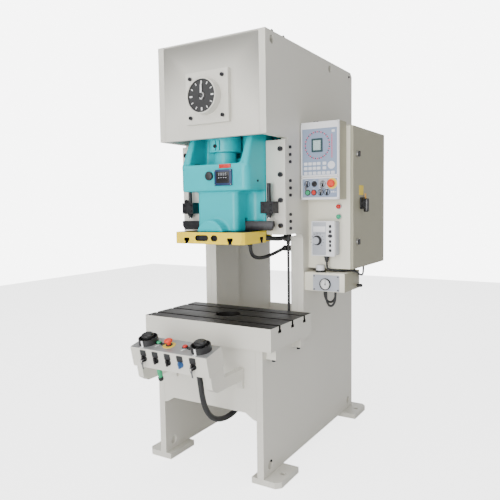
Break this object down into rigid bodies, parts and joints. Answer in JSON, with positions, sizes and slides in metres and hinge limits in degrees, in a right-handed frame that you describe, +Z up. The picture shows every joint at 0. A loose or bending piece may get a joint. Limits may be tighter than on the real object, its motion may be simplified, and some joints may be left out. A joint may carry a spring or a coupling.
{
  "type": "mechanical stamping press",
  "caption": "Gap-frame mechanical stamping press with crank drive, guided slide, slotted table, two-hand control box and electrical cabinet.",
  "frame": {"origin": "on the floor at the centre of the four foundation bolt holes", "axes": "+Z up, +X to the machine's right side seen from the front, front towards -Y; rest pose is the slide at top dead centre"},
  "size_m": [0.9935, 1.4905, 2.11],
  "materials": {
    "base_yellow": "yellow enamel",
    "black_plastic": "black moulded plastic",
    "cabinet_paint": "beige enamel",
    "dark_steel": "oiled blackened steel",
    "frame_paint": "semi-gloss off-white machine enamel",
    "green_plastic": "green moulded plastic",
    "grey_plastic": "grey moulded plastic",
    "ground_steel": "ground steel",
    "panel_face": "blue-grey printed panel",
    "red_plastic": "red moulded plastic",
    "rubber": "black rubber",
    "slide_paint": "gloss turquoise enamel"
  },
  "bodies": {
    "frame": {"side_plate_left": "frame_paint", "side_plate_right": "frame_paint", "throat_liners": "frame_paint", "foot_plates": "frame_paint", "cross_plates": "frame_paint", "bearing_walls": "frame_paint", "slide_gibs": "frame_paint", "frame_screws": "dark_steel", "bolster": "dark_steel", "crank_dial": "frame_paint", "drive_motor": "slide_paint", "drive_belts": "rubber", "rear_guard": "frame_paint", "stop_brackets": "dark_steel", "cabinet_shell": "cabinet_paint", "panel_housing": "panel_face", "speed_box": "grey_plastic", "air_box": "frame_paint", "control_box": "frame_paint", "control_arms": "frame_paint", "control_conduit": "rubber", "air_hoses": "rubber", "slide_hose": "rubber"},
    "crank": {"crankshaft": "ground_steel"},
    "rod": {"connecting_rod": "slide_paint"},
    "slide": {"slide_body": "slide_paint", "adjusting_screw": "slide_paint", "slide_base": "base_yellow", "shank_clamp": "slide_paint", "height_indicator": "black_plastic"},
    "knockout": {"knockout_bar": "dark_steel"},
    "stop_left": {"stop_bolt_left": "ground_steel"},
    "stop_right": {"stop_bolt_right": "ground_steel"},
    "wheel": {"flywheel": "dark_steel"},
    "pulley": {"motor_pulley": "dark_steel"},
    "door": {"cabinet_door": "cabinet_paint"},
    "door_latch_top": {"door_latch_top": "black_plastic"},
    "door_latch_bottom": {"door_latch_bottom": "black_plastic"},
    "main_switch": {"main_switch": "black_plastic"},
    "speed_knob": {"speed_knob": "grey_plastic"},
    "regulator_knob": {"regulator_knob": "grey_plastic"},
    "gauge_needle": {"gauge_needle": "black_plastic"},
    "palm_button_left": {"palm_button_left": "black_plastic"},
    "palm_button_right": {"palm_button_right": "black_plastic"},
    "desk_green_button": {"desk_green_button": "green_plastic"},
    "desk_red_button": {"desk_red_button": "red_plastic"},
    "desk_stop": {"desk_stop": "red_plastic"},
    "desk_selector_1": {"desk_selector_1": "black_plastic"},
    "desk_selector_2": {"desk_selector_2": "black_plastic"},
    "desk_selector_3": {"desk_selector_3": "black_plastic"},
    "desk_selector_4": {"desk_selector_4": "black_plastic"},
    "desk_selector_5": {"desk_selector_5": "black_plastic"},
    "panel_key": {"panel_key": "black_plastic"},
    "panel_mode_lock": {"panel_mode_lock": "black_plastic"},
    "panel_selector_left": {"panel_selector_left": "black_plastic"},
    "panel_selector_right": {"panel_selector_right": "black_plastic"},
    "panel_black_button": {"panel_black_button": "black_plastic"},
    "panel_green_button": {"panel_green_button": "green_plastic"},
    "panel_red_button": {"panel_red_button": "red_plastic"},
    "panel_stop": {"panel_stop": "red_plastic"}
  },
  "joints": [
    {"name": "slide_stroke", "type": "slide", "parent": "frame", "child": "rod", "axis": [0, 0, 1], "range_m": [-0.08, 0], "deforming": ["slide_hose"]},
    {"name": "crank_turn", "type": "hinge", "parent": "frame", "child": "crank", "pos_m": [0, -0.396, 1.832], "axis": [0, 1, 0], "range_deg": [0, 180]},
    {"name": "die_height", "type": "slide", "parent": "rod", "child": "slide", "axis": [0, 0, 1], "range_m": [-0.05, 0]},
    {"name": "knockout_lift", "type": "slide", "parent": "slide", "child": "knockout", "axis": [0, 0, 1], "range_m": [0, 0.013]},
    {"name": "stop_bolt_left_height", "type": "slide", "parent": "frame", "child": "stop_left", "axis": [0, 0, 1], "range_m": [-0.012, 0.06]},
    {"name": "stop_bolt_right_height", "type": "slide", "parent": "frame", "child": "stop_right", "axis": [0, 0, 1], "range_m": [-0.012, 0.06]},
    {"name": "flywheel_spin", "type": "hinge", "parent": "frame", "child": "wheel", "pos_m": [0, 0.445, 1.832], "axis": [0, 1, 0], "continuous": true},
    {"name": "motor_pulley_spin", "type": "hinge", "parent": "frame", "child": "pulley", "pos_m": [0, 0.445, 1.291], "axis": [0, 1, 0], "continuous": true},
    {"name": "cabinet_door_swing", "type": "hinge", "parent": "frame", "child": "door", "pos_m": [0.5605, 0.414, 1.343], "axis": [0, 0, 1], "range_deg": [0, 110]},
    {"name": "door_latch_top_turn", "type": "hinge", "parent": "door", "child": "door_latch_top", "pos_m": [0.5655, -0.03, 1.567], "axis": [1, 0, 0], "range_deg": [0, 90]},
    {"name": "door_latch_bottom_turn", "type": "hinge", "parent": "door", "child": "door_latch_bottom", "pos_m": [0.5655, -0.03, 1.119], "axis": [1, 0, 0], "range_deg": [0, 90]},
    {"name": "main_switch_turn", "type": "hinge", "parent": "door", "child": "main_switch", "pos_m": [0.57, 0.039, 1.317], "axis": [1, 0, 0], "range_deg": [0, 90]},
    {"name": "speed_knob_turn", "type": "hinge", "parent": "frame", "child": "speed_knob", "pos_m": [0.395, -0.16, 1.13], "axis": [0, -1, 0], "range_deg": [-135, 135]},
    {"name": "regulator_knob_turn", "type": "hinge", "parent": "frame", "child": "regulator_knob", "pos_m": [0.39, -0.109, 0.98], "axis": [0, 0, 1], "range_deg": [-180, 180]},
    {"name": "gauge_needle_turn", "type": "hinge", "parent": "frame", "child": "gauge_needle", "pos_m": [0.43, -0.14, 0.904], "axis": [0, 1, 0], "range_deg": [0, 270]},
    {"name": "palm_button_left_press", "type": "slide", "parent": "frame", "child": "palm_button_left", "axis": [0, -0.225, 0.9744], "range_m": [-0.006, 0], "stiffness_N_per_m": 600, "springref_m": 0.004},
    {"name": "palm_button_right_press", "type": "slide", "parent": "frame", "child": "palm_button_right", "axis": [0, -0.225, 0.9744], "range_m": [-0.006, 0], "stiffness_N_per_m": 600, "springref_m": 0.004},
    {"name": "desk_green_button_press", "type": "slide", "parent": "frame", "child": "desk_green_button", "axis": [0, -0.225, 0.9744], "range_m": [-0.004, 0], "stiffness_N_per_m": 600, "springref_m": 0.004},
    {"name": "desk_red_button_press", "type": "slide", "parent": "frame", "child": "desk_red_button", "axis": [0, -0.225, 0.9744], "range_m": [-0.004, 0], "stiffness_N_per_m": 600, "springref_m": 0.004},
    {"name": "desk_stop_press", "type": "slide", "parent": "frame", "child": "desk_stop", "axis": [0, -0.225, 0.9744], "range_m": [-0.004, 0]},
    {"name": "desk_selector_1_turn", "type": "hinge", "parent": "frame", "child": "desk_selector_1", "pos_m": [-0.14, -0.8832, 0.62523], "axis": [0, -0.9744, -0.225], "range_deg": [-45, 45]},
    {"name": "desk_selector_2_turn", "type": "hinge", "parent": "frame", "child": "desk_selector_2", "pos_m": [-0.07, -0.8832, 0.62523], "axis": [0, -0.9744, -0.225], "range_deg": [-45, 45]},
    {"name": "desk_selector_3_turn", "type": "hinge", "parent": "frame", "child": "desk_selector_3", "pos_m": [0, -0.8832, 0.62523], "axis": [0, -0.9744, -0.225], "range_deg": [-45, 45]},
    {"name": "desk_selector_4_turn", "type": "hinge", "parent": "frame", "child": "desk_selector_4", "pos_m": [0.07, -0.8832, 0.62523], "axis": [0, -0.9744, -0.225], "range_deg": [-45, 45]},
    {"name": "desk_selector_5_turn", "type": "hinge", "parent": "frame", "child": "desk_selector_5", "pos_m": [0.14, -0.8832, 0.62523], "axis": [0, -0.9744, -0.225], "range_deg": [-45, 45]},
    {"name": "panel_key_turn", "type": "hinge", "parent": "frame", "child": "panel_key", "pos_m": [0.352, -0.175, 1.416], "axis": [0, -1, 0], "range_deg": [-45, 45]},
    {"name": "panel_mode_lock_turn", "type": "hinge", "parent": "frame", "child": "panel_mode_lock", "pos_m": [0.438, -0.175, 1.416], "axis": [0, -1, 0], "range_deg": [-45, 45]},
    {"name": "panel_selector_left_turn", "type": "hinge", "parent": "frame", "child": "panel_selector_left", "pos_m": [0.426, -0.175, 1.373], "axis": [0, -1, 0], "range_deg": [-45, 45]},
    {"name": "panel_selector_right_turn", "type": "hinge", "parent": "frame", "child": "panel_selector_right", "pos_m": [0.46, -0.175, 1.373], "axis": [0, -1, 0], "range_deg": [-45, 45]},
    {"name": "panel_black_button_press", "type": "slide", "parent": "frame", "child": "panel_black_button", "axis": [0, -1, 0], "range_m": [-0.004, 0], "stiffness_N_per_m": 600, "springref_m": 0.004},
    {"name": "panel_green_button_press", "type": "slide", "parent": "frame", "child": "panel_green_button", "axis": [0, -1, 0], "range_m": [-0.004, 0], "stiffness_N_per_m": 600, "springref_m": 0.004},
    {"name": "panel_red_button_press", "type": "slide", "parent": "frame", "child": "panel_red_button", "axis": [0, -1, 0], "range_m": [-0.004, 0], "stiffness_N_per_m": 600, "springref_m": 0.004},
    {"name": "panel_stop_press", "type": "slide", "parent": "frame", "child": "panel_stop", "axis": [0, -1, 0], "range_m": [-0.004, 0]}
  ],
  "couplings": [
    {"joint": "crank_turn", "follows": "slide_stroke", "rad_per_m": -39.27},
    {"joint": "motor_pulley_spin", "follows": "flywheel_spin", "ratio": 5.7381}
  ]
}
